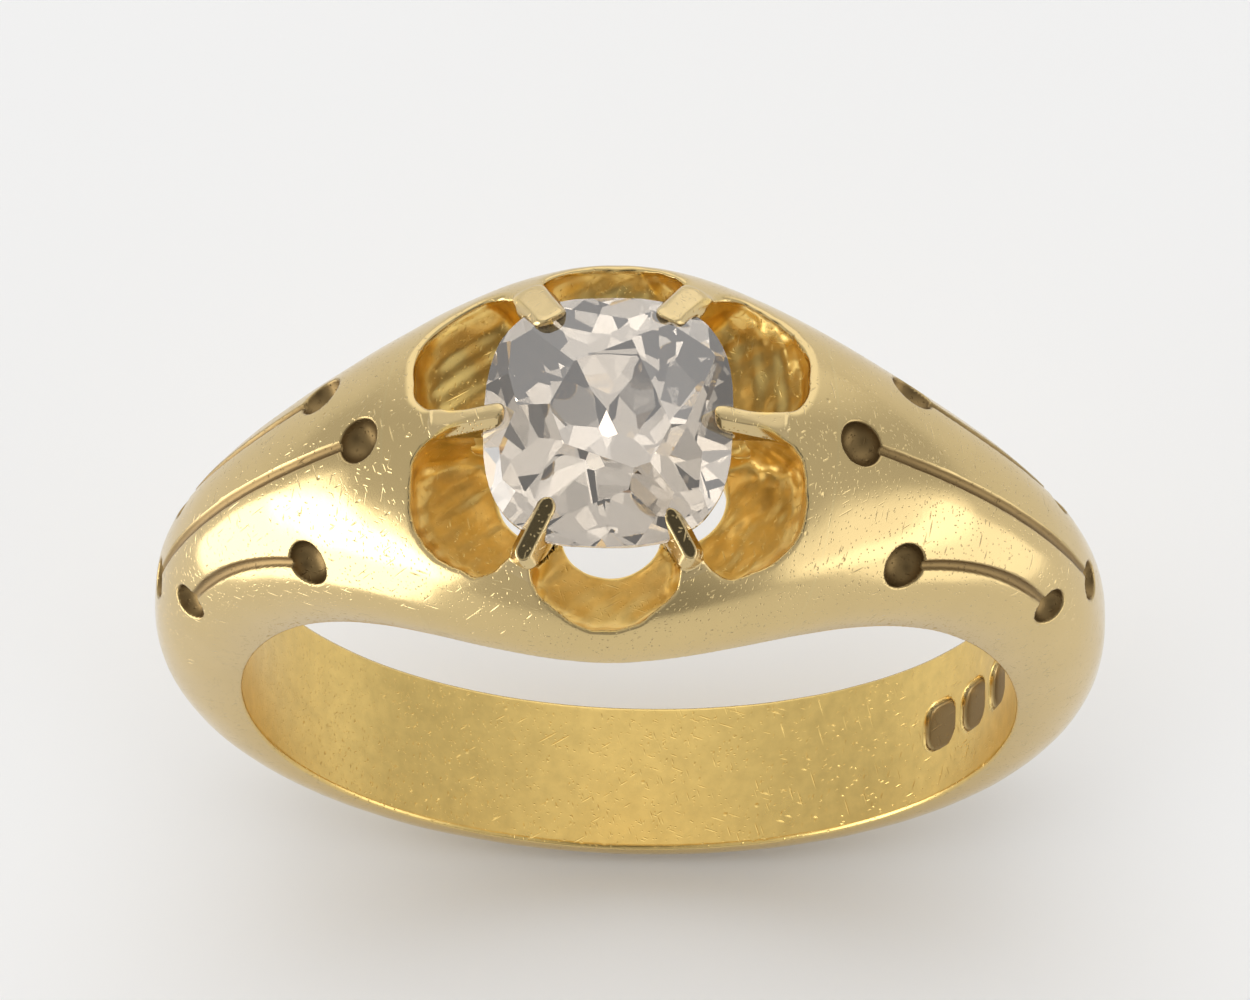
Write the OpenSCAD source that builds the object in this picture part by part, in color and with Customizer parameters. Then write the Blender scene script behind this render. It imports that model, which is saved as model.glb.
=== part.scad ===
// Claw-set ring: one old-cut stone in a carved, six-scalloped head, engraved shoulders, plain shank.
// Frame: origin at the centre of the finger hole, +Y along the finger, +Z towards the stone.
// Angles round the hoop are measured from +Z, positive towards +X.

/* [Finger hole] */
// Radius of the finger hole
bore_r = 8.7; // [8.2:0.05:9.2]
// Height of the square edge between the finger hole and the dome
edge_h = 0.18; // [0.12:0.01:0.25]

/* [Hoop outline] */
// Half width of the shank at the back
back_half_w = 1.79; // [1.4:0.01:2.2]
// Half width of the head
head_half_w = 4.64; // [4.5:0.01:5.0]
// Angle over which the hoop widens to the head
flare_angle = 39.9; // [36:0.1:44]
// How suddenly the hoop widens
flare_power = 1.91; // [1.7:0.01:2.2]
// Radius to the crest at the back of the shank
back_crest_r = 9.9; // [9.8:0.01:10.2]
// Rise of the crest from the back to the shoulders
shoulder_rise = 1.52; // [1.4:0.01:1.7]
// Further rise of the crest at the head
head_rise = 0.83; // [0.7:0.01:0.95]
// Angle over which the head rises
head_angle = 22; // [20:0.5:24]

/* [Seams] */
// Angle of the seams between head and shoulders
head_seam_angle = 25.5; // [25:0.1:26]
// Angle of the seams between shoulders and back shank
back_seam_angle = 105; // [95:1:115]
// Angle that the solder film in a seam takes up
solder_angle = 0.3; // [0.2:0.05:0.4]

/* [Scallops] */
// Distance from the stone's axis to the outer end of a side scallop
scallop_reach = 4.7; // [4.6:0.01:4.75]
// The same for the two scallops on the finger's axis
end_scallop_reach = 4.4; // [4.3:0.01:4.45]
// Half width of a scallop at its broadest
scallop_half_w = 1.6; // [1.5:0.01:1.7]
// Radius of a scallop's rounded corners
scallop_corner_r = 0.62; // [0.5:0.01:0.7]
// Height of the scallops' dished floor on the stone's axis
floor_z = 8.62; // [8.55:0.01:8.7]
// Radius of the ball that dishes the floor
floor_ball_r = 9.7; // [9:0.1:11]
// Radius of the middle of the open hole behind the stone
light_hole_r = 1.9; // [1.8:0.01:2.1]
// Distance from the stone's axis to a lobe of the hole, and the lobe's radius
light_lobe = [1.62, 1.08]; // [1:0.01:1.7]

/* [Claws] */
// Thickness of a claw at its tip
claw_tip_w = 0.44; // [0.4:0.01:0.5]
// Thickness of a claw where it enters the wall
claw_root_w = 0.7; // [0.6:0.01:0.74]
// Distance from the stone's axis to the claw's outer end
claw_root_u = 3.9; // [3.85:0.01:3.95]
// Length and thickness of the tongue that locates a claw in the wall
tongue_size = [0.3, 0.34]; // [0.2:0.01:0.5]
// Height of each claw's tip, starting from +X
claw_tip_z = [11.8, 11.88, 11.88, 11.82, 11.82, 11.74]; // [11.7:0.01:11.9]
// How far each claw laps over the stone, starting from +X
claw_lap = [0.42, 0.48, 0.46, 0.56, 0.42, 0.22]; // [0.1:0.01:0.6]
// How far each claw carries the stone from below
claw_bearing = 0.42; // [0.35:0.01:0.5]

/* [Stone] */
// Half size of the cushion outline across the finger
stone_half_x = 2.7; // [2.65:0.01:2.75]
// Half size of the cushion outline along the finger
stone_half_y = 2.95; // [2.9:0.01:3.0]
// Squareness of the cushion outline, where 2 is an ellipse
cushion_power = 2.8; // [2.6:0.1:3]
// Height of the girdle's middle
girdle_z = 11.15; // [11.1:0.01:11.2]
// Thickness of the girdle
girdle_t = 0.1; // [0.06:0.01:0.14]
// Height of the flat table
table_z = 12.12; // [12.05:0.01:12.2]
// Height of the small flat culet
culet_z = 8.82; // [8.78:0.01:8.9]
// Slopes of the crown's stars, mains and girdle facets
crown_slopes = [24, 38, 44]; // [20:1:50]
// How far outside the girdle the stars' planes start
star_setback = 0.42; // [0.3:0.01:0.5]
// Slopes of the pavilion's mains and girdle facets
pavilion_slopes = [42.5, 46]; // [40:0.5:48]

/* [Engraving] */
// Radius of the large drilled dots at the head end of each line
dot_r = 0.53; // [0.4:0.01:0.55]
// Radius of the small dots at the far end of each line
end_dot_r = 0.44; // [0.3:0.01:0.45]
// Width and depth of the cut lines
line_w = 0.2; // [0.15:0.01:0.3]
// Angles round the hoop where the middle line starts and ends
middle_line = [28.8, 73.2]; // [28:0.1:80]
// Angles round the hoop where the side lines start and end
side_line = [38, 65.3]; // [34:0.1:80]
// Offset of the side lines from the middle where they start and end
side_offset = [2.12, 1.36]; // [1:0.01:2.3]
// How much of the side lines' bend lies near the head
side_bend = 2.4; // [1:0.1:3]

/* [Punch marks] */
// Angles round the hoop of the three blank punch marks inside the shank
punch_angles = [109, 118.5, 128]; // [107:0.5:140]
// Width and depth of a punch mark
punch_size = [1.15, 0.12]; // [0.1:0.01:1.3]

/* [Hidden] */
edge_r = bore_r + edge_h;
core_r = bore_r - 0.6;
back_power = 2.62;
head_power = 1.71;
power_angle = 50;
arc_steps = 26;
head_steps = 26;
shoulder_steps = 34;
back_steps = 30;
groove_steps = 14;
claw_step = 60;
floor_ball_z = floor_z + floor_ball_r;
above = 14;
smooth = 96;
gold = [0.83, 0.68, 0.36];
deep_gold = [0.72, 0.53, 0.2];

// Outline of the hoop at angle a
function half_width(a) =
    back_half_w + (head_half_w - back_half_w) * exp(-pow(abs(a) / flare_angle, flare_power));
function crest_r(a) =
    back_crest_r + shoulder_rise * (1 + cos(a)) / 2 + head_rise * exp(-pow(a / head_angle, 2));
function section_power(a) =
    back_power + (head_power - back_power) * exp(-pow(a / power_angle, 2));

// Radius of the domed outside at angle a and place y, and its height over a point x, y
function dome_r(a, y) =
    edge_r + (crest_r(a) - edge_r)
        * sqrt(max(0, 1 - pow(abs(y) / half_width(a), section_power(a))));
function dome_z(x, y, z = 11, rounds = 8) = rounds == 0 ? z
    : let (a = atan2(x, z)) dome_z(x, y, sqrt(pow(dome_r(a, y), 2) - x * x), rounds - 1);

// Point at angle a, radius r and place y
function hoop_point(a, r, y) = [r * sin(a), y, r * cos(a)];
function dome_point(a, s) = hoop_point(a,
    edge_r + (crest_r(a) - edge_r) * cos(s),
    half_width(a) * sign(s) * pow(abs(sin(s)), 2 / section_power(a)));
function hoop_section(a) = concat(
    [hoop_point(a, core_r, -half_width(a))],
    [for (i = [0 : arc_steps]) dome_point(a, -90 + 180 * i / arc_steps)],
    [hoop_point(a, core_r, half_width(a))]);

// Triangles that close a convex ring of n points, as a strip from side to side
function strip(first, n) = let (last = first + n - 1) concat(
    [for (i = [0 : ceil(n / 2) - 2]) [first + i, first + i + 1, last - i]],
    [for (i = [0 : floor(n / 2) - 2]) [first + i + 1, last - i - 1, last - i]]);

// Closed skin over a row of rings that all have n points
function ring_faces(rows, n) = concat(
    [for (f = strip(0, n)) [f[0], f[2], f[1]]],
    [for (k = [0 : rows - 2], i = [0 : n - 1]) [k * n + i, k * n + (i + 1) % n, (k + 1) * n + i]],
    [for (k = [0 : rows - 2], i = [0 : n - 1])
        [k * n + (i + 1) % n, (k + 1) * n + (i + 1) % n, (k + 1) * n + i]],
    strip((rows - 1) * n, n));
module skin(rings) {
    points = [for (ring = rings) each ring];
    polyhedron(points, ring_faces(len(rings), len(rings[0])), convexity = 6);
}

// Length of the hoop from angle a0 to a1, still solid inside
module hoop_length(a0, a1, steps) {
    skin([for (k = [0 : steps]) hoop_section(a0 + (a1 - a0) * k / steps)]);
}
module finger_hole() {
    rotate([90, 0, 0]) cylinder(r = bore_r, h = 3 * head_half_w, center = true, $fn = 2 * smooth);
}

// One scallop's outline, pointing along +X from the stone's axis
module scallop_outline(reach) {
    corner_u = reach - 1.08;
    nose_r = 1.5;
    hull() {
        for (side = [-1, 1])
            translate([corner_u, side * (scallop_half_w - scallop_corner_r)])
                circle(r = scallop_corner_r, $fn = 32);
        translate([reach - nose_r, 0]) circle(r = nose_r, $fn = 64);
        translate([1.1, 0]) circle(r = 0.2, $fn = 32);
    }
}
module floor_ball() {
    translate([0, 0, floor_ball_z]) sphere(r = floor_ball_r, $fn = smooth);
}

// Distance from the stone's axis to its girdle in direction t
function girdle_u(t) = pow(pow(abs(cos(t)) / stone_half_x, cushion_power)
    + pow(abs(sin(t)) / stone_half_y, cushion_power), -1 / cushion_power);
// Furthest reach of the cushion outline in direction t
function cushion_reach(t) = let (m = cushion_power / (cushion_power - 1))
    pow(pow(stone_half_x * abs(cos(t)), m) + pow(stone_half_y * abs(sin(t)), m), 1 / m);

// Facets as direction, slope and the distance at which each meets the girdle's edge
girdle_top = girdle_z + girdle_t / 2;
girdle_bottom = girdle_z - girdle_t / 2;
crown_facets = [for (t = [0 : 45 : 315]) each [
    [t, crown_slopes[1], cushion_reach(t)],
    [t + 22.5, crown_slopes[0], cushion_reach(t + 22.5) + star_setback],
    [t + 11.25, crown_slopes[2], cushion_reach(t + 11.25)],
    [t + 33.75, crown_slopes[2], cushion_reach(t + 33.75)]]];
pavilion_facets = [for (t = [0 : 45 : 315]) each [
    [t, pavilion_slopes[0], cushion_reach(t)],
    [t + 11.25, pavilion_slopes[1], cushion_reach(t + 11.25)],
    [t + 33.75, pavilion_slopes[1], cushion_reach(t + 33.75)]]];
function facet_drop(f, x, y) = (f[2] - x * cos(f[0]) - y * sin(f[0])) * tan(f[1]);
function stone_top(x, y) =
    min(table_z, girdle_top + max(0, min([for (f = crown_facets) facet_drop(f, x, y)])));
function stone_bottom(x, y) =
    max(culet_z, girdle_bottom - max(0, min([for (f = pavilion_facets) facet_drop(f, x, y)])));

// Everything that is cut out of the top of the head
module head_recess() {
    intersection() {
        union() {
            for (a = [30 : claw_step : 330])
                rotate([0, 0, a]) translate([0, 0, bore_r - 1])
                    linear_extrude(above - bore_r)
                        scallop_outline(a % 180 == 90 ? end_scallop_reach : scallop_reach);
            translate([0, 0, bore_r - 1]) cylinder(r = claw_root_u, h = above, $fn = smooth);
        }
        floor_ball();
    }
}
// Open hole under the stone, with a lobe in each scallop
module light_hole() {
    translate([0, 0, bore_r - 2]) cylinder(r = light_hole_r, h = above, $fn = smooth);
    for (a = [30 : claw_step : 330])
        rotate([0, 0, a]) translate([light_lobe[0], 0, bore_r - 2])
            cylinder(r = light_lobe[1], h = above, $fn = smooth / 2);
}
module tongue() {
    translate([claw_root_u - 0.2, -tongue_size[1] / 2, 9])
        cube([tongue_size[0] + 0.2, tongue_size[1], 1.15]);
}

module setting_head() {
    color(gold) difference() {
        hoop_length(solder_angle / 2 - head_seam_angle, head_seam_angle - solder_angle / 2, head_steps);
        finger_hole();
        head_recess();
        for (a = [0 : claw_step : 300])
            rotate([0, 0, a]) tongue();
        light_hole();
    }
}

// Claw number k: a blade that carries the girdle from below and laps over the crown
module claw(k) {
    t = k * claw_step;
    girdle = girdle_u(t) + 0.03;
    tip_u = girdle - claw_lap[k];
    foot_u = girdle - claw_bearing;
    tip_z = claw_tip_z[k];
    function top_at(u) = dome_z(u * cos(t), u * sin(t));
    function on_stone(u) = max([for (w = [-0.5, 0, 0.5] * claw_tip_w)
        stone_top(u * cos(t) - w * sin(t), u * sin(t) + w * cos(t))]);
    function under_stone(u) = min([for (w = [-0.5, 0, 0.5] * claw_tip_w)
        stone_bottom(u * cos(t) - w * sin(t), u * sin(t) + w * cos(t))]);
    color(gold) rotate([0, 0, t]) intersection() {
        union() {
            rotate([90, 0, 0]) linear_extrude(2, center = true)
                polygon([[foot_u, 8], [claw_root_u, 8], [claw_root_u, top_at(claw_root_u) - 0.02],
                    [girdle + 0.35, max(top_at(girdle + 0.35), tip_z - 0.4)],
                    [girdle + 0.12, tip_z], [tip_u + 0.12, tip_z], [tip_u, tip_z - 0.1],
                    [tip_u, on_stone(tip_u)], [girdle, on_stone(girdle)],
                    [girdle, under_stone(girdle)], [foot_u, under_stone(foot_u)]]);
            tongue();
        }
        linear_extrude(above)
            polygon([[tip_u - 1, -claw_tip_w / 2], [girdle, -claw_tip_w / 2],
                [claw_root_u, -claw_root_w / 2], [claw_root_u, -tongue_size[1] / 2],
                [claw_root_u + 1, -tongue_size[1] / 2], [claw_root_u + 1, tongue_size[1] / 2],
                [claw_root_u, tongue_size[1] / 2], [claw_root_u, claw_root_w / 2],
                [girdle, claw_tip_w / 2], [tip_u - 1, claw_tip_w / 2]]);
        floor_ball();
    }
}
module claw_right() { claw(0); }
module claw_back_right() { claw(1); }
module claw_back_left() { claw(2); }
module claw_left() { claw(3); }
module claw_front_left() { claw(4); }
module claw_front_right() { claw(5); }

// Cutter for one engraved line along the dome, from y0 at angle a0 to y1 at angle a1
module engraved_line(a0, a1, y0, y1) {
    skin([for (k = [0 : groove_steps])
        let (f = k / groove_steps, a = a0 + (a1 - a0) * f,
            y = y0 + (y1 - y0) * (1 - pow(1 - f, side_bend)),
            r = dome_r(a, y), depth = line_w * (0.3 + 0.7 * min(1, 4 * (1 - f))))
        [hoop_point(a, r + 0.1, y - line_w / 2), hoop_point(a, r - depth, y),
            hoop_point(a, r + 0.1, y + line_w / 2)]]);
}
module drilled_dot(a, y, r) {
    translate(hoop_point(a, dome_r(a, y) + 0.1 * r, y)) sphere(r = r, $fn = smooth / 2);
}
module engraving() {
    for (y = [-side_offset[0], 0, side_offset[0]]) {
        line = y == 0 ? middle_line : side_line;
        end_y = sign(y) * side_offset[1];
        engraved_line(line[0], line[1], y, end_y);
        drilled_dot(line[0], y, dot_r);
        drilled_dot(line[1], end_y, end_dot_r);
    }
}
module shoulder_right() {
    color(gold) difference() {
        hoop_length(head_seam_angle + solder_angle / 2, back_seam_angle - solder_angle / 2,
            shoulder_steps);
        finger_hole();
        engraving();
    }
}
module shoulder_left() {
    mirror([1, 0, 0]) shoulder_right();
}

// Plain back of the hoop, with three blank punch marks in the finger hole
module back_shank() {
    color(deep_gold) difference() {
        hoop_length(back_seam_angle + solder_angle / 2, 360 - back_seam_angle - solder_angle / 2,
            back_steps);
        finger_hole();
        for (a = punch_angles)
            rotate([0, a, 0]) translate([-punch_size[0] / 2, -punch_size[0] / 2, bore_r - 1])
                cube([punch_size[0], punch_size[0], 1 + punch_size[1]]);
    }
}

// Films of hard solder that join head, shoulders and back shank
module solder_seams() {
    color(deep_gold) for (a = [-back_seam_angle, -head_seam_angle, head_seam_angle, back_seam_angle])
        difference() {
            hoop_length(a - solder_angle / 2, a + solder_angle / 2, 1);
            finger_hole();
        }
}

// What one facet leaves: the space on the stone's side of its plane
module facet_side(f) {
    size = 14;
    rotate([0, 0, f[0]]) translate([f[2], 0, 0]) rotate([0, 90 - f[1], 0])
        translate([-size, -size / 2, -size / 2]) cube(size);
}
module stone_solid() {
    intersection() {
        translate([0, 0, culet_z]) linear_extrude(table_z - culet_z)
            polygon([for (t = [0 : 5 : 355]) girdle_u(t) * [cos(t), sin(t)]]);
        intersection_for(f = crown_facets) translate([0, 0, girdle_top]) facet_side(f);
        intersection_for(f = pavilion_facets)
            translate([0, 0, girdle_bottom]) mirror([0, 0, 1]) facet_side(f);
    }
}
module diamond() {
    color([0.93, 0.9, 0.92, 0.6]) stone_solid();
}

setting_head();
claw_right();
claw_back_right();
claw_back_left();
claw_left();
claw_front_left();
claw_front_right();
shoulder_left();
shoulder_right();
back_shank();
solder_seams();
diamond();
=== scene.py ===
import math
import bmesh
import bpy
import numpy as np
from mathutils import Matrix, Vector


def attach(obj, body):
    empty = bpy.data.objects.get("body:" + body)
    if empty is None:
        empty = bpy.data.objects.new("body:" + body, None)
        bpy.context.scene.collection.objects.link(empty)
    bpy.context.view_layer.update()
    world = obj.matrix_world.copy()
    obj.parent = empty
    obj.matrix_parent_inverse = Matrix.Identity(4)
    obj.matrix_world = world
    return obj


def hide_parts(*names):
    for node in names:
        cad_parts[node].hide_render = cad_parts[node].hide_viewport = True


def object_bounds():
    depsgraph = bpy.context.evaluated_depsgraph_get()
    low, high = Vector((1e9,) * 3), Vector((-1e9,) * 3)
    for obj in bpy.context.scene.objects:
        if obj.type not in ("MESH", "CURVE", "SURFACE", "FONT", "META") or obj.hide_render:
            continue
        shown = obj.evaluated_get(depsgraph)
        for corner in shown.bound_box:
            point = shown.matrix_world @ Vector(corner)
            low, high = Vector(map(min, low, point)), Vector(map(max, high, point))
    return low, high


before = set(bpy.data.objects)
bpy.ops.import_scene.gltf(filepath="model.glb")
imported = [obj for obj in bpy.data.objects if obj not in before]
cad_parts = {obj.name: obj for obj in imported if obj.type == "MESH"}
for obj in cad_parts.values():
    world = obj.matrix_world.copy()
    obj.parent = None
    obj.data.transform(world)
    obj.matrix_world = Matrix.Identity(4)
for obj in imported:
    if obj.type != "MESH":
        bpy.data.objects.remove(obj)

# Claw-set ring: the looks of every node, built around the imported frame.
# Shapes are worked out in millimetres in the frame of the part: origin at the centre of the finger
# hole, +Y along the finger, +Z towards the stone, angles round the hoop in degrees from +Z to +X.

CAD_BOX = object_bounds()
MM = 0.001

# Hoop: radii of the finger hole and of the dome's foot
BORE_R = 8.7
EDGE_R = 8.88
# Half width at the back and at the head, and the angle and power of the change between them
HALF_WIDTH = (1.79, 4.64, 39.9, 1.91)
# Radius to the crest at the back, its rise to the shoulders, and its rise at the head over an angle
CREST = (9.9, 1.52, 0.83, 22)
# Squareness of the section at the back and at the head, and the angle over which it changes
SECTION_POWER = (2.62, 1.71, 50)
# Angles of the seams and half the angle that a film of solder takes up
HEAD_SEAM = 25.5
BACK_SEAM = 105
SOLDER_HALF = 0.15
EDGE_ROUND = 0.09
HAMMER_WAVE = 0.007

# Scallops
SCALLOP_REACH = 4.7
END_SCALLOP_REACH = 4.4
SCALLOP_HALF_W = 1.6
# Radius of the rounded corners, and how far their centres lie inside the outer end
CORNER_R = 0.62
CORNER_BACK = 1.08
NOSE_R = 1.5
# Height of the centre and radius of the ball that dishes the floor
FLOOR_BALL = (18.32, 9.7)
FLOOR_FILLET = 0.5
# Open hole behind the stone, and the place and radius of its lobe in each scallop
LIGHT_HOLE_R = 1.9
LOBE = (1.62, 1.08)
HOLE_ROUND = 0.12
# Room for the girdle between the claws: radius, height of its foot, rounding of its own edge
# and of the edge where it meets the scallops
SEAT_R = 2.42
SEAT_FOOT_Z = 9.6
SEAT_ROUND = 0.3
SEAT_JOIN = 0.1
# Rounding of the rim at the front, and at the back from a distance from the axis
RIM_ROUND = (0.12, 0.26)
RIM_SOFT_FROM = 3.6
TOOL_WAVE = 0.016
# How much the scallops thin the claws, from what distance from the axis and over what length
CLAW_THINNING = (0.11, 3.9, 1.1)

# Claws, one row each from +X: direction, inner and outer end of the filed top, its half width,
# its height at the inner end, its slopes outwards and sideways, and how soft and worn it is
CLAWS = [
    ("claw_right", 0, 2.33, 3.85, 0.15, 11.88, -0.49, -0.15, 0.16),
    ("claw_back_right", 61, 2.5, 3.8, 0.27, 11.88, -0.68, 0.0, 0.22),
    ("claw_back_left", 120, 2.5, 3.8, 0.30, 11.88, -0.68, 0.0, 0.22),
    ("claw_left", 180, 2.22, 3.85, 0.15, 11.92, -0.49, 0.15, 0.16),
    ("claw_front_left", 241, 2.36, 3.78, 0.16, 11.82, -0.43, -0.27, 0.05),
    ("claw_front_right", 301, 2.62, 3.78, 0.14, 11.72, -0.43, 0.21, 0.05),
]
# Height of a tip, and the rounding of its corners
TIP_DEPTH = 1.0
TIP_CORNER = 0.24
# How much wider the tip gets downwards, and to what depth
TIP_FLARE = (0.55, 0.3)
# What keeps distances true on the sloping lid and sides
LID_TRUE, SIDE_TRUE = 0.9, 0.88
# Half width of the space above a tip that the file has cleared, and the edge that it leaves
FILED_HALF_W = 0.5
FILED_EDGE = 0.04
# Distance from the axis where the seam of a claw meets the dome, and where and how low it ends
CLAW_CUT_TOP = 3.95
CLAW_CUT_FOOT = (2.5, 9.2)

# Stone: outline, heights, slopes of the facets, and how far they start outside the girdle
STONE_HALF = (2.7, 2.95)
CUSHION_POWER = 2.8
GIRDLE_Z = 11.15
GIRDLE_T = 0.1
TABLE_Z = 12.12
CULET_Z = 8.82
STAR, CROWN_MAIN, CROWN_GIRDLE = 24, 38, 44
STAR_SETBACK = 0.42
PAVILION_MAIN, PAVILION_GIRDLE = 42.5, 46
PAVILION_MID, MID_OUTSET = 44, 0.02
PAVILION_LOW, LOW_OUTSET = 38, 0.26
# How far a hand-cut facet strays in direction, slope and place
HAND_TURN = 4.0
HAND_SLOPE = 2.8
HAND_SHIFT = 0.03
HAND_SEED = 42
# Gap between stone and claws, and the space in which the stone can touch them
SEAT_GAP = 0.012
STONE_NEAR_R = 3.4
STONE_NEAR_Z = 8.7

# Engraving: dots and lines with their radii, how far they stand off the dome, and the lines' bend
DOT_R = 0.53
END_DOT_R = 0.44
DOT_LIFT = 0.1
LINE_R = 0.12
LINE_LIFT = 0.02
LINE_BEND = 2.4
CUT_EDGE = 0.05
# Angle and offset where each line starts, and where it ends, on the left and right shoulder
LINES = {
    "left": [(28.8, 0.05, 74.0, -0.16), (39.2, -2.12, 66.0, -1.36), (36.5, 1.72, 65.3, 1.10)],
    "right": [(28.5, 0.05, 72.5, -0.16), (37.3, -2.18, 64.8, -1.39), (37.5, 2.05, 64.6, 1.30)],
}

# Punch marks: width and depth, rounding of their corners and foot
PUNCH_ANGLES = (109, 118.5, 128)
PUNCH_SIZE = (1.15, 0.12)
PUNCH_CORNER = 0.5
PUNCH_FOOT = 0.08

# Grids that the surfaces are found on: step of each, and the boxes round the head and along a claw
HEAD_STEP = 0.055
CLAW_STEP = 0.035
HOOP_STEP = 0.055
BACK_STEP, BACK_R_STEP = 0.08, 0.06
HEAD_BOX = ((-5.6, 5.6), (-4.75, 4.76), (7.55, 12.35))
CLAW_BOX = ((1.9, 4.3), (-0.62, 0.62), (8.9, 12.2))
# A distance that is further than any other
FAR = 9.0

# Distances over which the masks for the materials fade
RECESS_FADE = 0.05
TIP_FADE = 0.04
GROOVE_FADE = 0.035
BORE_FADE = 0.06
# Share of the dark patina colour spread over the finger hole as painted shade
BORE_SHADE = 0.24
# Half width along the finger and depth of the room in which a punch mark is dark
PUNCH_NEAR = (0.7, 0.2)

# Gold on the surface, brighter warmer gold in the carving and finger hole as painted bounce light,
# and the dark patina colour, which over the finger hole is painted shade
HEAD_GOLD = (0.70, 0.53, 0.25)
CLAW_GOLD = (0.71, 0.545, 0.275)
SOLDER_GOLD = (0.70, 0.54, 0.26)
GLOW_GOLD = (1.0, 0.72, 0.24)
PATINA_AND_SHADE = (0.17, 0.105, 0.04)
# Short scratches in five directions, and pits: rotation, scale and half width of a mark
MARKS = [
    ((0.1, 0.2, 0.4), (700, 8000, 8000), 0.16),
    ((0.2, -0.1, 1.3), (520, 9000, 9000), 0.16),
    ((-0.3, 0.4, 1.8), (600, 8600, 8600), 0.16),
    ((0.1, -0.2, 2.5), (420, 7000, 7000), 0.14),
    ((0.3, 0.9, 0.1), (600, 8000, 8000), 0.16),
    ((0.0, 0.0, 0.0), (1500, 1500, 1500), 0.09),
]

# Camera: the point it looks at, and its distance, direction, roll and lens
AIM = Vector((0.34, -1.27, 9.90))
VIEW = dict(distance=240, azimuth=7.34, elevation=65.61, roll=-6.26, lens=318.6)

# Surroundings: radiance all round, then soft patches that add to it, each with its azimuth,
# elevation, half angles where it is full and where it is gone, and radiance
SKY_BASE = 0.62
SKY_PATCHES = [
    (-76, -11, 27, 30, 2.0),
    (76, -7, 27, 35, 0.85),
    (180, 24, 27, 53, 0.7),
    (8, 5, 10, 40, -0.28),
]
# The dark spot where a camera stands, of the same form, with the share of the light it leaves
SKY_SHADE = (7, 65, 10, 23, 0.12)
# Upright cards: name, azimuth, distance, lower and upper edge, width and radiance
CARDS = [
    ("left_card", -75, 34, -9.5, 16, 34, 2.2),
    ("right_card", 75, 38, -9.5, 14, 30, 0.75),
]
# Light on the floor alone, and the card inside the hoop that only the stone sees
FLOOR_WASH = dict(size=400, height=600, radiance=2.35)
UNDER_CARD = dict(width=8, length=8.6, height=6.8, radiance=1.07)


# ---------------------------------------------------------------- shapes as fields, negative inside

def smooth_max(a, b, k):
    """Larger of two fields, with the edge between them rounded over the distance k."""
    h = np.maximum(k - np.abs(a - b), 0) / k
    return np.maximum(a, b) + h * h * k / 4


def smooth_min(a, b, k):
    return -smooth_max(-a, -b, k)


def half_width(a):
    back, head, angle, power = HALF_WIDTH
    return back + (head - back) * np.exp(-(np.abs(a) / angle) ** power)


def crest_r(a):
    back, shoulder_rise, head_rise, angle = CREST
    return back + shoulder_rise * (1 + np.cos(np.radians(a))) / 2 \
        + head_rise * np.exp(-(a / angle) ** 2)


def section_power(a):
    back, head, angle = SECTION_POWER
    return back + (head - back) * np.exp(-(a / angle) ** 2)


def dome_r(a, y):
    side = (np.abs(y) / half_width(a)) ** section_power(a)
    return EDGE_R + (crest_r(a) - EDGE_R) * np.sqrt(np.maximum(0, 1 - side))


def dome_field(x, y, z):
    r, a = np.hypot(x, z), np.degrees(np.arctan2(x, z))
    height, width, power = crest_r(a) - EDGE_R, half_width(a), section_power(a)
    rise, side = np.maximum(r - EDGE_R, 0) / height, np.abs(y) / width
    slope = np.hypot(2 * rise / height, power * side ** (power - 1) / width)
    wave = np.sin(2.3 * x + 1.1 * y) * np.sin(1.9 * y - 1.3 * z + 0.7) * np.sin(1.6 * z + 0.9 * x)
    return (rise ** 2 + side ** power - 1) / np.maximum(slope, 0.15) + HAMMER_WAVE * (1 + wave)


def hoop_field(x, y, z):
    return smooth_max(dome_field(x, y, z), BORE_R - np.hypot(x, z), EDGE_ROUND)


def scallop_frame(x, y):
    """Distance along and across the nearest scallop, and how far that one reaches."""
    turn = np.degrees(np.arctan2(y, x)) % 180
    nearest = np.floor(turn / 60) * 60 + 30
    distance, off = np.hypot(x, y), np.radians(turn - nearest)
    reach = np.where(nearest == 90, END_SCALLOP_REACH, SCALLOP_REACH)
    return distance * np.cos(off), np.abs(distance * np.sin(off)), reach


def scallop_outline(u, t, reach):
    """Scallop seen from above, as the furthest of the lines that touch its corners and nose."""
    outline = np.full(u.shape, -FAR, u.dtype)
    for side in np.radians(np.arange(-3, 130, 3.5)):
        c, s = math.cos(side), math.sin(side)
        corner = (reach - CORNER_BACK) * c + (SCALLOP_HALF_W - CORNER_R) * s + CORNER_R
        nose = (reach - NOSE_R) * c + NOSE_R
        outline = np.maximum(outline, u * c + t * s - np.maximum(corner, nose))
    return outline


def recess_field(x, y, z):
    u, t, reach = scallop_frame(x, y)
    distance = np.hypot(x, y)
    thinning, start, length = CLAW_THINNING
    outline = scallop_outline(u, t, reach) - thinning * np.clip((start - distance) / length, 0, 1)
    ball_z, ball_r = FLOOR_BALL
    floor = np.sqrt(distance ** 2 + (z - ball_z) ** 2) - ball_r
    wave = np.sin(5.3 * x + 2.1 * z + 0.4) * np.sin(4.7 * y - 3.1 * z) \
        + 0.7 * np.sin(9.1 * x - 6.7 * y + 3.3 * z) * np.sin(7.9 * z + 5.1 * y)
    scoop = smooth_max(outline, floor, FLOOR_FILLET) + TOOL_WAVE * wave
    lobe_u, lobe_r = LOBE
    hole = np.minimum(distance - LIGHT_HOLE_R, np.hypot(u - lobe_u, t) - lobe_r)
    seat = smooth_max(distance - SEAT_R, SEAT_FOOT_Z - z, SEAT_ROUND)
    return smooth_min(smooth_min(scoop, hole, HOLE_ROUND), seat, SEAT_JOIN)


def cushion_reach(t):
    m = CUSHION_POWER / (CUSHION_POWER - 1)
    return ((STONE_HALF[0] * abs(math.cos(t))) ** m
            + (STONE_HALF[1] * abs(math.sin(t))) ** m) ** (1 / m)


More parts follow.
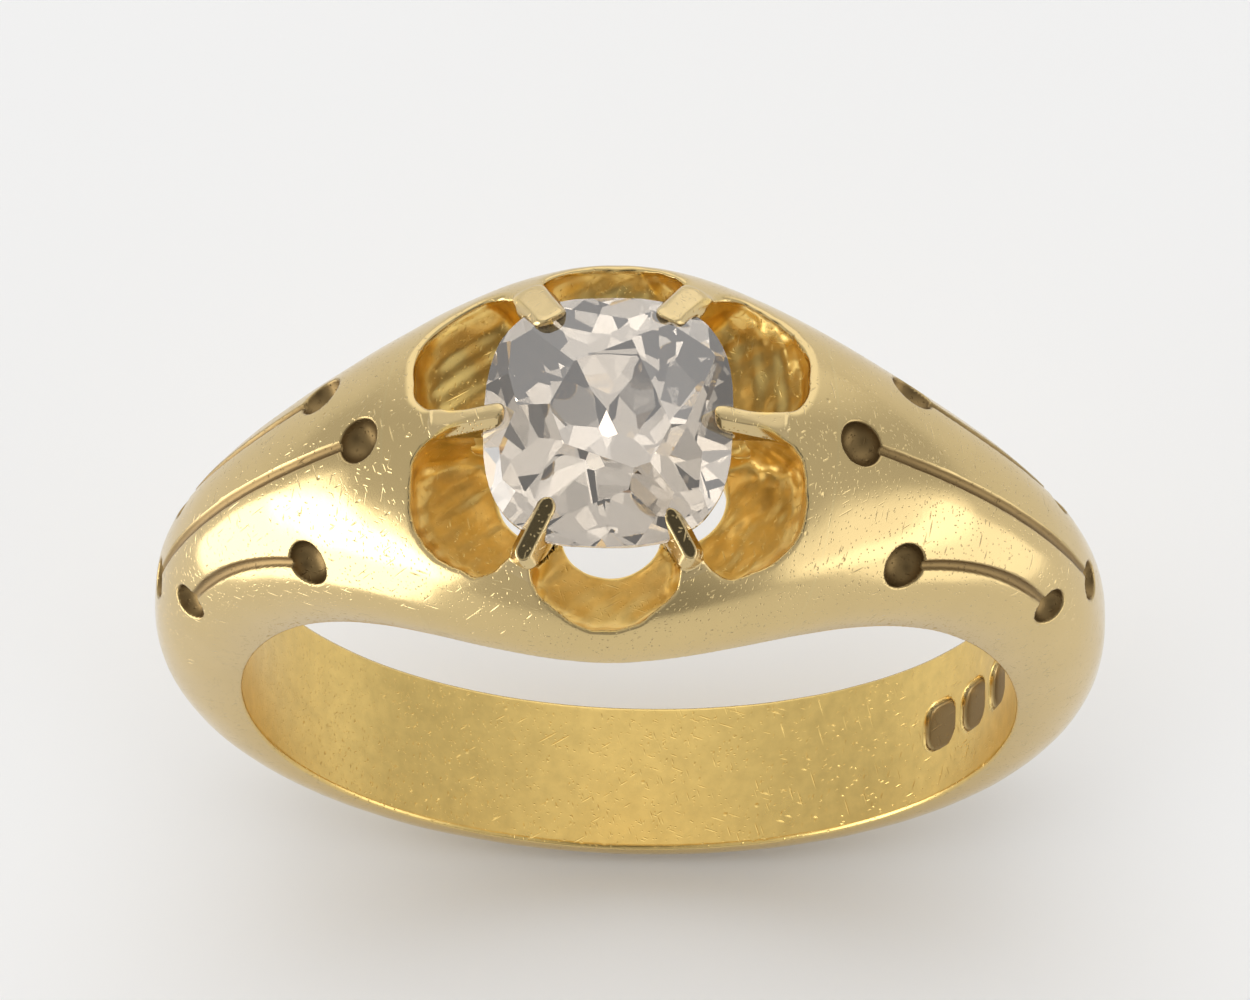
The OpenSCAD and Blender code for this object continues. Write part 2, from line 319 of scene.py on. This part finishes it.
def facet(turn, slope, start, side):
    """Plane of a facet as unit normal and distance from the origin; side is 1 or -1 in z."""
    t, tilt = math.radians(turn), math.radians(slope)
    normal = (math.cos(t) * math.sin(tilt), math.sin(t) * math.sin(tilt), side * math.cos(tilt))
    top = GIRDLE_Z + side * GIRDLE_T / 2
    reach = cushion_reach(t) + start
    at = (math.cos(t) * reach, math.sin(t) * reach, top)
    return normal, sum(n * p for n, p in zip(normal, at))


def stone_planes():
    """Facets cut by hand, so that none lies quite where the pattern says."""
    hand = np.random.default_rng(HAND_SEED)
    planes = [((0, 0, 1), TABLE_Z), ((0, 0, -1), -CULET_Z)]
    for t in range(0, 360, 45):
        rows = [(t, CROWN_MAIN, 0, 1), (t + 22.5, STAR, STAR_SETBACK, 1), (t, PAVILION_MAIN, 0, -1)]
        for turn in (t + 11.25, t + 33.75):
            rows += [(turn, CROWN_GIRDLE, 0, 1), (turn, PAVILION_GIRDLE, 0, -1)]
        rows += [(t + 22.5, PAVILION_MID, MID_OUTSET, -1),
                 (t + 22.5, PAVILION_LOW, LOW_OUTSET, -1)]
        for turn, slope, start, side in rows:
            off, tip, back = hand.uniform(-1, 1, 3)
            planes.append(facet(turn + HAND_TURN * off, slope + HAND_SLOPE * tip,
                                start + HAND_SHIFT * back, side))
    return planes


STONE_PLANES = stone_planes()


def girdle_u(t):
    return (np.abs(np.cos(t) / STONE_HALF[0]) ** CUSHION_POWER
            + np.abs(np.sin(t) / STONE_HALF[1]) ** CUSHION_POWER) ** (-1 / CUSHION_POWER)


def stone_field(x, y, z):
    worst = np.hypot(x, y) - girdle_u(np.arctan2(y, x))
    for normal, offset in STONE_PLANES:
        worst = np.maximum(worst, x * normal[0] + y * normal[1] + z * normal[2] - offset)
    return worst


def claw_parts(x, y, z, row):
    """One claw's tip over the stone, and the space above it that the file has cleared."""
    _, turn, inner, outer, half, top, slope_u, slope_w, soft = row
    c, s = math.cos(math.radians(turn)), math.sin(math.radians(turn))
    u, w = x * c + y * s, -x * s + y * c
    lid = (z - top - slope_u * (u - inner) - slope_w * w) * LID_TRUE
    ends = np.abs(u - (inner + outer) / 2) - (outer - inner) / 2
    flare, depth = TIP_FLARE
    side = (np.abs(w) - half - flare * np.clip(-lid, 0, depth)) * SIDE_TRUE
    tip = smooth_max(smooth_max(ends, side, TIP_CORNER), lid, 0.5 * soft)
    tip = smooth_max(tip, top - TIP_DEPTH - z, 0.1)
    above = smooth_max(smooth_max(ends, np.abs(w) - FILED_HALF_W, 0.1), -lid, FILED_EDGE)
    return tip, above


def head_field(x, y, z):
    sharp, soft = RIM_ROUND
    rim = sharp + (soft - sharp) * np.clip(y / 2 + 0.5, 0, 1) \
        * np.clip(2 * np.hypot(x, y) - 2 * RIM_SOFT_FROM, 0, 1)
    body = smooth_max(hoop_field(x, y, z), -recess_field(x, y, z), rim)
    for row in CLAWS:
        tip, above = claw_parts(x, y, z, row)
        body = smooth_max(smooth_min(body, tip, row[-1]), -above, FILED_EDGE)
    near = (np.hypot(x, y) < STONE_NEAR_R) & (z > STONE_NEAR_Z)
    seat = SEAT_GAP - stone_field(x[near], y[near], z[near])
    body[near] = smooth_max(body[near], seat, 0.03)
    return body


def from_hoop(a, y, r):
    """Point at angle a, place y and radius r."""
    t = np.radians(a)
    return r * np.sin(t), y, r * np.cos(t)


def engraving_field(x, y, z, side):
    """Lines and dots cut in one shoulder."""
    x = np.abs(x)
    r, a = np.hypot(x, z), np.degrees(np.arctan2(x, z))
    cut = np.full(x.shape, FAR, x.dtype)
    for a0, y0, a1, y1 in LINES[side]:
        f = np.clip((a - a0) / (a1 - a0), 0, 1)
        line_y = y0 + (y1 - y0) * (1 - (1 - f) ** LINE_BEND)
        beyond = np.maximum(np.maximum(a0 - a, a - a1), 0) * math.radians(1) * r
        across = np.hypot(r - dome_r(a, line_y) - LINE_LIFT, y - line_y)
        radius = LINE_R * (0.6 + 0.4 * np.minimum(1, 4 * (1 - f)))
        cut = np.minimum(cut, np.hypot(across, beyond) - radius)
        for angle, at_y, dot in ((a0, y0, DOT_R), (a1, y1, END_DOT_R)):
            dot_r = float(dome_r(np.float64(angle), np.float64(at_y))) + DOT_LIFT * dot
            cx, _, cz = from_hoop(angle, at_y, dot_r)
            cut = np.minimum(cut, np.sqrt((x - cx) ** 2 + (y - at_y) ** 2 + (z - cz) ** 2) - dot)
    return cut


def shoulder_field(side):
    def field(x, y, z):
        return smooth_max(hoop_field(x, y, z), -engraving_field(x, y, z, side), CUT_EDGE)
    return field


def back_field(x, y, z):
    body = hoop_field(x, y, z)
    r, a = np.hypot(x, z), np.degrees(np.arctan2(x, z))
    width, depth = PUNCH_SIZE
    for angle in PUNCH_ANGLES:
        along = np.abs((a - angle) * math.radians(1) * BORE_R) - width / 2
        outline = smooth_max(along, np.abs(y) - width / 2, PUNCH_CORNER)
        body = smooth_max(body, -smooth_max(outline, r - BORE_R - depth, PUNCH_FOOT), CUT_EDGE)
    return body


# ---------------------------------------------------------------- fields to meshes

def gradient(field, points):
    """Slope of a field at each point, from a small step along each axis."""
    step = 0.002
    parts = []
    for axis in range(3):
        ahead, behind = points.copy(), points.copy()
        ahead[:, axis] += step
        behind[:, axis] -= step
        parts.append((field(*ahead.T) - field(*behind.T)) / (2 * step))
    return np.stack(parts, 1)


def settle(field, points, rounds=3, reach=0.04):
    """Move points onto the surface where the field is zero."""
    for _ in range(rounds):
        slope = gradient(field, points)
        size = np.maximum((slope ** 2).sum(1), 0.05)
        move = -(field(*points.T) / size)[:, None] * slope
        length = np.linalg.norm(move, axis=1)[:, None]
        points = points + move * np.minimum(1, reach / np.maximum(length, 1e-9))
    return points


def surface_net(axes, place, field):
    """Quads of the surface field = 0 over a box grid; place turns grid values into x, y, z."""
    grid = np.meshgrid(*[axis.astype(np.float32) for axis in axes], indexing="ij")
    values = field(*place(*grid))
    shape = values.shape
    inside = values < 0
    count = np.zeros([n - 1 for n in shape], np.int8)
    corners = [(i, j, k) for i in (0, 1) for j in (0, 1) for k in (0, 1)]
    for i, j, k in corners:
        count += inside[i:shape[0] - 1 + i, j:shape[1] - 1 + j, k:shape[2] - 1 + k]
    cells = np.argwhere((count > 0) & (count < 8))
    number = np.full(count.shape, -1, np.int64)
    number[tuple(cells.T)] = np.arange(len(cells))
    total, weight = np.zeros((len(cells), 3)), np.zeros(len(cells))
    for start in corners:
        for axis in range(3):
            if start[axis]:
                continue
            end = list(start)
            end[axis] = 1
            a = values[tuple((cells + start).T)]
            b = values[tuple((cells + end).T)]
            crossed = (a < 0) != (b < 0)
            at = np.tile(np.array(start, float), (len(cells), 1))
            at[:, axis] = np.where(crossed, a / np.where(crossed, a - b, 1), 0)
            total += at * crossed[:, None]
            weight += crossed
    at = cells + total / weight[:, None]
    spots = [np.interp(at[:, n], np.arange(len(axes[n])), axes[n]) for n in range(3)]
    points = settle(field, np.stack(place(*spots), 1))
    quads = []
    for axis in range(3):
        b, c = (axis + 1) % 3, (axis + 2) % 3
        low = [slice(None)] * 3
        low[axis] = slice(0, -1)
        high = list(low)
        high[axis] = slice(1, None)
        change = inside[tuple(low)] != inside[tuple(high)]
        edges = np.argwhere(change)
        keep = (edges[:, b] > 0) & (edges[:, b] < shape[b] - 1) \
            & (edges[:, c] > 0) & (edges[:, c] < shape[c] - 1)
        edges = edges[keep]
        ring = []
        for back_b, back_c in ((1, 1), (0, 1), (0, 0), (1, 0)):
            cell = edges.copy()
            cell[:, b] -= back_b
            cell[:, c] -= back_c
            ring.append(number[tuple(cell.T)])
        ring = np.stack(ring, 1)
        outward = inside[tuple(edges.T)]
        ring[~outward] = ring[~outward][:, ::-1]
        quads.append(ring)
    return points, np.concatenate(quads)


def ring_plane(angle, towards):
    """Plane through the finger's axis at an angle round the hoop, facing what is cut away."""
    t = math.radians(angle)
    return Vector((0, 0, 0)), Vector((math.cos(t), 0, -math.sin(t))) * towards


def cut_plane(bm, geom, plane):
    """Take away what is beyond a plane and close the hole that is left."""
    at, normal = plane
    cut = bmesh.ops.bisect_plane(bm, geom=geom, dist=1e-7, plane_co=at, plane_no=normal,
                                 clear_outer=True)
    edges = [e for e in cut["geom_cut"] if isinstance(e, bmesh.types.BMEdge) and e.is_boundary]
    caps = bmesh.ops.edgenet_fill(bm, edges=edges)["faces"]
    for face in caps:
        face.material_index = 1


def mesh_piece(name, points, quads, field, planes, masks, material, local_cuts=()):
    """Object from a surface net, cut off at planes, with normals and masks from its fields."""
    mesh = bpy.data.meshes.new(name)
    mesh.from_pydata(points.tolist(), [], quads.tolist())
    bm = bmesh.new()
    bm.from_mesh(mesh)
    for plane in planes:
        cut_plane(bm, bm.verts[:] + bm.edges[:] + bm.faces[:], plane)
    for near, plane in local_cuts:
        chosen = {v for v in bm.verts if near(v.co)}
        faces = [f for f in bm.faces if all(v in chosen for v in f.verts)]
        edges = dict.fromkeys(e for f in faces for e in f.edges)
        verts = dict.fromkeys(v for f in faces for v in f.verts)
        cut_plane(bm, [*verts, *edges, *faces], plane)
    loose = [v for v in bm.verts if not v.link_faces]
    bmesh.ops.delete(bm, geom=loose, context="VERTS")
    bm.to_mesh(mesh)
    bm.free()

    spots = np.empty(len(mesh.vertices) * 3)
    mesh.vertices.foreach_get("co", spots)
    spots = spots.reshape(-1, 3)
    slope = gradient(field, spots)
    slope /= np.maximum(np.linalg.norm(slope, axis=1)[:, None], 1e-9)
    corner = np.empty(len(mesh.loops), np.int64)
    mesh.loops.foreach_get("vertex_index", corner)
    cap = np.empty(len(mesh.polygons), np.int64)
    mesh.polygons.foreach_get("material_index", cap)
    sizes = np.empty(len(mesh.polygons), np.int64)
    mesh.polygons.foreach_get("loop_total", sizes)
    flat = np.empty(len(mesh.polygons) * 3)
    mesh.polygons.foreach_get("normal", flat)
    normals = slope[corner]
    capped = np.repeat(cap == 1, sizes)
    normals[capped] = np.repeat(flat.reshape(-1, 3), sizes, axis=0)[capped]
    for label, mask in masks.items():
        layer = mesh.attributes.new(label, "FLOAT", "POINT")
        layer.data.foreach_set("value", np.clip(mask(*spots.T), 0, 1).astype(np.float32))
    mesh.polygons.foreach_set("material_index", np.zeros(len(cap), np.int32))
    mesh.polygons.foreach_set("use_smooth", np.ones(len(cap), bool))
    mesh.vertices.foreach_set("co", (spots * MM).ravel())
    mesh.normals_split_custom_set(normals.tolist())
    mesh.materials.append(material)
    piece = bpy.data.objects.new(name, mesh)
    bpy.context.collection.objects.link(piece)
    return piece


def declare(piece, node):
    """Hide the frame's part that a piece stands for, and hang the piece on the root body."""
    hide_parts(node)
    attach(piece, "root")


def box_axes(box, step):
    return tuple(np.arange(low, high, step) for low, high in box)


def hoop_axes(a0, a1, step, r_step, reach, top):
    """Grid in angle, place and radius over a length of the hoop and one degree beyond."""
    margin, mean_r = 1.0, 10.3
    a = np.arange(a0 - margin, a1 + margin, math.degrees(step / mean_r))
    y = np.arange(-reach, reach + step, step)
    return a, y, np.arange(BORE_R - 0.12, top, r_step)


# ---------------------------------------------------------------- materials

class Nodes:
    """Short way to write a material's nodes."""

    def __init__(self, name):
        self.material = bpy.data.materials.new(name)
        self.material.use_nodes = True
        self.tree = self.material.node_tree
        self.shader = self.tree.nodes["Principled BSDF"]

    def add(self, kind, inputs=None, **settings):
        node = self.tree.nodes.new(kind)
        for key, value in settings.items():
            setattr(node, key, value)
        for key, value in (inputs or {}).items():
            self.feed(node.inputs[key], value)
        return node

    def feed(self, socket, value):
        if isinstance(value, bpy.types.NodeSocket):
            self.tree.links.new(value, socket)
        elif isinstance(value, bpy.types.Node):
            self.tree.links.new(value.outputs[0], socket)
        else:
            socket.default_value = value

    def math(self, operation, a, b, c=0.0):
        return self.add("ShaderNodeMath", {0: a, 1: b, 2: c}, operation=operation)

    def noise(self, where, scale, detail=3.0, rough=0.55, seed=0.0):
        return self.add("ShaderNodeTexNoise", {"Vector": where, "W": seed, "Scale": scale,
                        "Detail": detail, "Roughness": rough}, noise_dimensions="4D")

    def grey(self, value, low, high):
        """Value stretched so that low becomes 0 and high becomes 1."""
        return self.add("ShaderNodeMapRange", {0: value, 1: low, 2: high, 3: 0.0, 4: 1.0})

    def mix(self, factor, a, b):
        node = self.add("ShaderNodeMix", data_type="RGBA")
        for key, value in ((0, factor), (6, a), (7, b)):
            if isinstance(value, tuple) and len(value) == 3:
                value = (*value, 1)
            self.feed(node.inputs[key], value)
        return node.outputs[2]


def scratches(n, where, turn, scale, reach):
    """Height of short straight marks that lie along one direction: -1 in a mark, 0 outside."""
    spun = n.add("ShaderNodeMapping", {"Vector": where, "Rotation": turn})
    spun = n.add("ShaderNodeMapping", {"Vector": spun, "Scale": scale})
    cell = n.add("ShaderNodeTexVoronoi", {"Vector": spun, "Scale": 1.0, "Randomness": 1.0})
    return n.add("ShaderNodeMapRange", {0: cell.outputs["Distance"], 1: 0.0, 2: reach,
                                        3: -1.0, 4: 0.0})


def gold(name, colour, rough, seed):
    """Worn polished gold: brighter, warmer and duller in the carving and the finger hole, where the
    brightness is painted bounce light; dark with patina in the engraving and punch marks, and with
    painted shade in the finger hole.
    """
    n = Nodes(name)
    where = n.add("ShaderNodeTexCoord").outputs["Object"]
    cloud = n.noise(where, 420.0, 4.0, seed=seed)
    fine = n.noise(where, 2600.0, 4.0, 0.6, seed + 3)
    glow_and_satin = n.add("ShaderNodeAttribute", attribute_name="glow_and_satin").outputs["Fac"]
    patina_and_shade = n.add("ShaderNodeAttribute", attribute_name="patina_and_shade").outputs["Fac"]
    base = n.mix(n.grey(cloud, 0.3, 0.7), colour, tuple(0.93 * c for c in colour))
    carved_glow = n.mix(n.grey(fine, 0.35, 0.7), GLOW_GOLD, tuple(0.84 * c for c in GLOW_GOLD))
    # Carving and finger hole: a brighter, warmer gold as painted light from bounces between the
    # gold walls.
    base = n.mix(glow_and_satin, base, carved_glow)
    # Patina in the engraving and punch marks; over the finger hole the same dark colour is painted
    # shade.
    base = n.mix(n.math("MULTIPLY", patina_and_shade, 0.85), base, PATINA_AND_SHADE)
    n.feed(n.shader.inputs["Base Color"], base)
    n.shader.inputs["Metallic"].default_value = 1.0
    spread = n.math("MULTIPLY_ADD", n.grey(cloud, 0.35, 0.75), 0.08, rough)
    dull = n.math("MAXIMUM", glow_and_satin, n.math("MULTIPLY", patina_and_shade, 1.9))
    n.feed(n.shader.inputs["Roughness"], n.math("MULTIPLY_ADD", dull, 0.14, spread))
    height = n.math("MULTIPLY", fine, 0.25)
    for turn, scale, reach in MARKS:
        height = n.math("ADD", height, scratches(n, where, turn, scale, reach))
    bump = n.add("ShaderNodeBump", {"Strength": 0.55, "Distance": 0.00002, "Height": height})
    n.feed(n.shader.inputs["Normal"], bump)
    return n.material


def diamond_material():
    """Clear stone with diamond's refraction and an uneven warm tint."""
    n = Nodes("diamond_clear")
    n.shader.inputs["Transmission Weight"].default_value = 0.95
    n.shader.inputs["IOR"].default_value = 2.417
    n.shader.inputs["Roughness"].default_value = 0.0
    where = n.add("ShaderNodeTexCoord").outputs["Object"]
    tint = n.mix(n.grey(n.noise(where, 300.0, 2.0), 0.3, 0.7), (1.0, 0.90, 0.78), (1.0, 0.83, 0.62))
    n.feed(n.shader.inputs["Base Color"], tint)
    return n.material


def floor_material():
    n = Nodes("floor_paper")
    where = n.add("ShaderNodeTexCoord").outputs["Object"]
    tone = n.mix(n.noise(where, 40.0, 3.0), (0.865, 0.865, 0.865), (0.88, 0.88, 0.88))
    n.feed(n.shader.inputs["Base Color"], tone)
    n.shader.inputs["Roughness"].default_value = 0.9
    n.shader.inputs["Specular IOR Level"].default_value = 0.1
    return n.material


# ---------------------------------------------------------------- camera, floor and light

def direction(azimuth, elevation):
    """Unit vector at an azimuth, from the front (-Y) round to the right (+X), and an elevation."""
    az, el = math.radians(azimuth), math.radians(elevation)
    return Vector((math.sin(az) * math.cos(el), -math.cos(az) * math.cos(el), math.sin(el)))


def aim_camera():
    back = direction(VIEW["azimuth"], VIEW["elevation"])
    data = bpy.data.cameras.new("camera")
    data.lens, data.sensor_width = VIEW["lens"], 36
    data.clip_start, data.clip_end = 0.01, 5
    camera = bpy.data.objects.new("camera", data)
    turn = back.to_track_quat("Z", "Y").to_matrix().to_4x4()
    turn = turn @ Matrix.Rotation(math.radians(VIEW["roll"]), 4, "Z")
    camera.matrix_world = Matrix.Translation((AIM + back * VIEW["distance"]) * MM) @ turn
    bpy.context.collection.objects.link(camera)
    bpy.context.scene.camera = camera


def floor():
    half_size, steps, gap = 0.6, 12, 0.00002
    bm = bmesh.new()
    bmesh.ops.create_grid(bm, x_segments=steps, y_segments=steps, size=half_size)
    mesh = bpy.data.meshes.new("floor")
    bm.to_mesh(mesh)
    bm.free()
    mesh.materials.append(floor_material())
    plane = bpy.data.objects.new("floor", mesh)
    plane.location = (0, 0, CAD_BOX[0][2] - gap)
    bpy.context.collection.objects.link(plane)


def light_group(name, piece, state):
    """Collection that tells a light to leave out one object, or to light nothing else."""
    group = bpy.data.collections.new(name)
    group.objects.link(bpy.data.objects[piece])
    group.collection_objects[0].light_linking.link_state = state
    return group


def area_light(name, width, height, radiance, group):
    """Flat light of a size in mm that looks as bright as its radiance and is out of the picture."""
    data = bpy.data.lights.new(name, "AREA")
    data.shape, data.size, data.size_y = "RECTANGLE", width * MM, height * MM
    data.energy = radiance * math.pi * data.size * data.size_y
    lamp = bpy.data.objects.new(name, data)
    lamp.visible_camera = False
    lamp.light_linking.receiver_collection = group
    bpy.context.collection.objects.link(lamp)
    return lamp


def light_card(name, azimuth, distance, low, high, width, radiance, group):
    """Upright lit card beside the ring."""
    lamp = area_light(name, width, high - low, radiance, group)
    out = direction(azimuth, 0)
    lamp.location = (out * distance + Vector((0, 0, (low + high) / 2))) * MM
    lamp.rotation_euler = out.to_track_quat("Z", "Y").to_euler()


def sky_patch(tree, patch, outside):
    """Value that is outside all round and turns smoothly to the patch's own in its direction."""
    azimuth, elevation, full, gone, inside = patch
    where = tree.nodes.new("ShaderNodeTexCoord").outputs["Generated"]
    dot = tree.nodes.new("ShaderNodeVectorMath")
    dot.operation = "DOT_PRODUCT"
    dot.inputs[1].default_value = direction(azimuth, elevation)
    tree.links.new(where, dot.inputs[0])
    ease = tree.nodes.new("ShaderNodeMapRange")
    ease.interpolation_type = "SMOOTHSTEP"
    ease.inputs["From Min"].default_value = math.cos(math.radians(gone))
    ease.inputs["From Max"].default_value = math.cos(math.radians(full))
    ease.inputs["To Min"].default_value = outside
    ease.inputs["To Max"].default_value = inside
    tree.links.new(dot.outputs["Value"], ease.inputs["Value"])
    return ease.outputs[0]


def light_tent():
    """Pale surroundings, brighter left, right and behind, dimmer in front, dark at the camera."""
    world = bpy.data.worlds.new("tent")
    bpy.context.scene.world = world
    world.use_nodes = True
    tree = world.node_tree
    steps = [("ADD", sky_patch(tree, patch, 0.0)) for patch in SKY_PATCHES]
    steps.append(("MULTIPLY", sky_patch(tree, SKY_SHADE, 1.0)))
    total = None
    for operation, value in steps:
        node = tree.nodes.new("ShaderNodeMath")
        node.operation = operation
        tree.links.new(value, node.inputs[0])
        if total is None:
            node.inputs[1].default_value = SKY_BASE
        else:
            tree.links.new(total, node.inputs[1])
        total = node.outputs[0]
    background = tree.nodes["Background"].inputs
    background["Color"].default_value = (1.0, 1.0, 1.0, 1)
    tree.links.new(total, background["Strength"])


def light_cards():
    """Cards that leave out the floor, and a wash that lights only the floor."""
    spare_floor = light_group("spare_floor", "floor", "EXCLUDE")
    for card in CARDS:
        light_card(*card, spare_floor)
    only_floor = light_group("only_floor", "floor", "INCLUDE")
    size = FLOOR_WASH["size"]
    wash = area_light("floor_wash", size, size, FLOOR_WASH["radiance"], only_floor)
    wash.location = (0, 0, FLOOR_WASH["height"] * MM)


def light_under_stone():
    """Pale card inside the hoop, like cloth behind the open setting; only the stone sees it."""
    only_stone = light_group("only_stone", "old_cut_stone", "INCLUDE")
    card = area_light("under_card", UNDER_CARD["width"], UNDER_CARD["length"],
                      UNDER_CARD["radiance"], only_stone)
    card.location = (0, 0, UNDER_CARD["height"] * MM)
    card.rotation_euler = (math.pi, 0, 0)


# ---------------------------------------------------------------- the ring

def glow_and_satin_mask(x, y, z):
    """Inside of the scallops and the finger hole, without the claws' tips: duller gold brightened
    with painted bounce light.
    """
    mask = 1 - np.maximum(recess_field(x, y, z), 0) / RECESS_FADE
    for row in CLAWS:
        mask = np.minimum(mask, np.maximum(claw_parts(x, y, z, row)[0], 0) / TIP_FADE)
    return np.maximum(mask, bore_mask(x, y, z))


def no_mask(x, y, z):
    return np.zeros(x.shape)


def bore_mask(x, y, z):
    return 1 - (np.hypot(x, z) - BORE_R) / BORE_FADE


# Painted shade over the finger hole, as a share of the patina colour.
def bore_shade_mask(x, y, z):
    return BORE_SHADE * np.clip(bore_mask(x, y, z), 0, 1)


def groove_patina_and_shade_mask(side):
    """Patina in the lines and dots of one shoulder, and painted shade in the finger hole."""
    def mask(x, y, z):
        cut = 1 - np.maximum(engraving_field(x, y, z, side), 0) / GROOVE_FADE
        return np.maximum(cut, bore_shade_mask(x, y, z))
    return mask


def punch_patina_and_shade_mask(x, y, z):
    """Patina on the floors of the punch marks, and painted shade in the finger hole."""
    depth = np.hypot(x, z) - BORE_R
    near_y, near_depth = PUNCH_NEAR
    mark = depth / PUNCH_SIZE[1] * (np.abs(y) < near_y) * (depth < near_depth)
    return np.maximum(bore_shade_mask(x, y, z), mark)


def claw_frame(row):
    """Cosine and sine of a claw's direction."""
    turn = math.radians(row[1])
    return math.cos(turn), math.sin(turn)


def dome_top(x, y):
    """Height of the dome over a point, found by coming nearer to it step by step."""
    top = 10.9
    for _ in range(12):
        a = np.degrees(np.arctan2(x, top))
        top = math.sqrt(float(dome_r(a, y)) ** 2 - x ** 2)
    return top


def claw_cut(row):
    """Slanted plane that parts a claw from the head; its normal points into the claw."""
    c, s = claw_frame(row)
    u = CLAW_CUT_TOP
    foot_u, foot_z = CLAW_CUT_FOOT
    slope = Vector((u - foot_u, 0, dome_top(u * c, u * s) + 0.05 - foot_z)).normalized()
    normal = Vector((-slope.z * c, -slope.z * s, slope.x))
    return Vector((foot_u * c, foot_u * s, foot_z)), normal


def near_claw(row):
    """Test of whether a point of the head lies in the box along one claw."""
    c, s = claw_frame(row)
    (near_u, far_u), (_, half_w), (foot_z, _) = CLAW_BOX
    return lambda p: (near_u < p.x * c + p.y * s < far_u
                      and abs(p.y * c - p.x * s) < half_w and p.z > foot_z)


def build_head(material):
    axes = box_axes(HEAD_BOX, HEAD_STEP)
    points, quads = surface_net(axes, lambda x, y, z: (x, y, z), head_field)
    seams = [ring_plane(HEAD_SEAM - SOLDER_HALF, 1), ring_plane(SOLDER_HALF - HEAD_SEAM, -1)]
    cuts = [(near_claw(row), claw_cut(row)) for row in CLAWS]
    head = mesh_piece("carved_head", points, quads, head_field, seams,
                      {"glow_and_satin": glow_and_satin_mask, "patina_and_shade": no_mask}, material, cuts)
    declare(head, "setting_head")


def build_claws(material):
    axes = box_axes(CLAW_BOX, CLAW_STEP)
    for row in CLAWS:
        c, s = claw_frame(row)
        place = lambda u, w, z, c=c, s=s: (u * c - w * s, u * s + w * c, z)
        points, quads = surface_net(axes, place, head_field)
        at, normal = claw_cut(row)
        claw = mesh_piece(row[0] + "_worn", points, quads, head_field, [(at, -normal)],
                          {"glow_and_satin": glow_and_satin_mask, "patina_and_shade": no_mask}, material)
        declare(claw, row[0])


def build_shoulders(material):
    for name, side in (("left", -1), ("right", 1)):
        angles = sorted((side * HEAD_SEAM, side * BACK_SEAM))
        axes = hoop_axes(*angles, HOOP_STEP, HOOP_STEP, 4.4, 11.95)
        field = shoulder_field(name)
        points, quads = surface_net(axes, from_hoop, field)
        planes = [ring_plane(angles[0] + SOLDER_HALF, -1), ring_plane(angles[1] - SOLDER_HALF, 1)]
        # In the finger hole the gold gets painted bounce light and painted shade.
        piece = mesh_piece("engraved_shoulder_" + name, points, quads, field, planes,
                           {"glow_and_satin": bore_mask, "patina_and_shade": groove_patina_and_shade_mask(name)}, material)
        declare(piece, "shoulder_" + name)


def build_back(material):
    axes = hoop_axes(BACK_SEAM, 360 - BACK_SEAM, BACK_STEP, BACK_R_STEP, 2.1, 10.6)
    points, quads = surface_net(axes, from_hoop, back_field)
    planes = [ring_plane(BACK_SEAM + SOLDER_HALF, -1), ring_plane(-BACK_SEAM - SOLDER_HALF, 1)]
    # In the finger hole the gold gets painted bounce light and painted shade; the punch marks get
    # patina.
    piece = mesh_piece("plain_back_shank", points, quads, back_field, planes,
                       {"glow_and_satin": bore_mask, "patina_and_shade": punch_patina_and_shade_mask}, material)
    declare(piece, "back_shank")


def build_solder(material):
    for name, angle, reach, top in (("head_left", -HEAD_SEAM, 4.6, 12.1),
                                    ("head_right", HEAD_SEAM, 4.6, 12.1),
                                    ("back_left", -BACK_SEAM, 2.2, 10.9),
                                    ("back_right", BACK_SEAM, 2.2, 10.9)):
        axes = hoop_axes(angle, angle, HOOP_STEP, HOOP_STEP, reach, top)
        points, quads = surface_net(axes, from_hoop, hoop_field)
        planes = [ring_plane(angle - SOLDER_HALF, -1), ring_plane(angle + SOLDER_HALF, 1)]
        # In the finger hole the solder gets painted bounce light and painted shade.
        piece = mesh_piece("solder_film_" + name, points, quads, hoop_field, planes,
                           {"glow_and_satin": bore_mask, "patina_and_shade": bore_shade_mask}, material)
        declare(piece, "solder_seams")


def build_stone(material):
    """Cushion cut down facet by facet, as a cutter grinds it."""
    bm = bmesh.new()
    bmesh.ops.create_cube(bm, size=8, matrix=Matrix.Translation((0, 0, GIRDLE_Z)))
    planes = [(Vector(n) * d, Vector(n)) for n, d in STONE_PLANES]
    for turn in range(3, 360, 6):
        t = math.radians(turn)
        c, s = math.cos(t), math.sin(t)
        planes.append((Vector((c, s, 0)) * cushion_reach(t), Vector((c, s, 0))))
    for at, normal in planes:
        cut_plane(bm, bm.verts[:] + bm.edges[:] + bm.faces[:], (at, normal))
    bmesh.ops.remove_doubles(bm, verts=bm.verts, dist=1e-4)
    bmesh.ops.dissolve_limit(bm, angle_limit=math.radians(0.05), verts=bm.verts, edges=bm.edges)
    bmesh.ops.recalc_face_normals(bm, faces=bm.faces)
    bmesh.ops.scale(bm, vec=(MM, MM, MM), verts=bm.verts)
    mesh = bpy.data.meshes.new("old_cut_stone")
    bm.to_mesh(mesh)
    bm.free()
    mesh.polygons.foreach_set("material_index", [0] * len(mesh.polygons))
    mesh.materials.append(material)
    stone = bpy.data.objects.new("old_cut_stone", mesh)
    bpy.context.collection.objects.link(stone)
    declare(stone, "diamond")


aim_camera()
floor()
light_tent()
light_cards()
head_gold = gold("gold_head", HEAD_GOLD, 0.13, 1.0)
claw_gold = gold("gold_claws", CLAW_GOLD, 0.14, 5.0)
shank_gold = gold("gold_shank", HEAD_GOLD, 0.13, 9.0)
solder_gold = gold("gold_solder", SOLDER_GOLD, 0.14, 13.0)
build_head(head_gold)
build_claws(claw_gold)
build_shoulders(shank_gold)
build_back(shank_gold)
build_solder(solder_gold)
build_stone(diamond_material())
light_under_stone()
bpy.context.scene.view_settings.view_transform = "Standard"
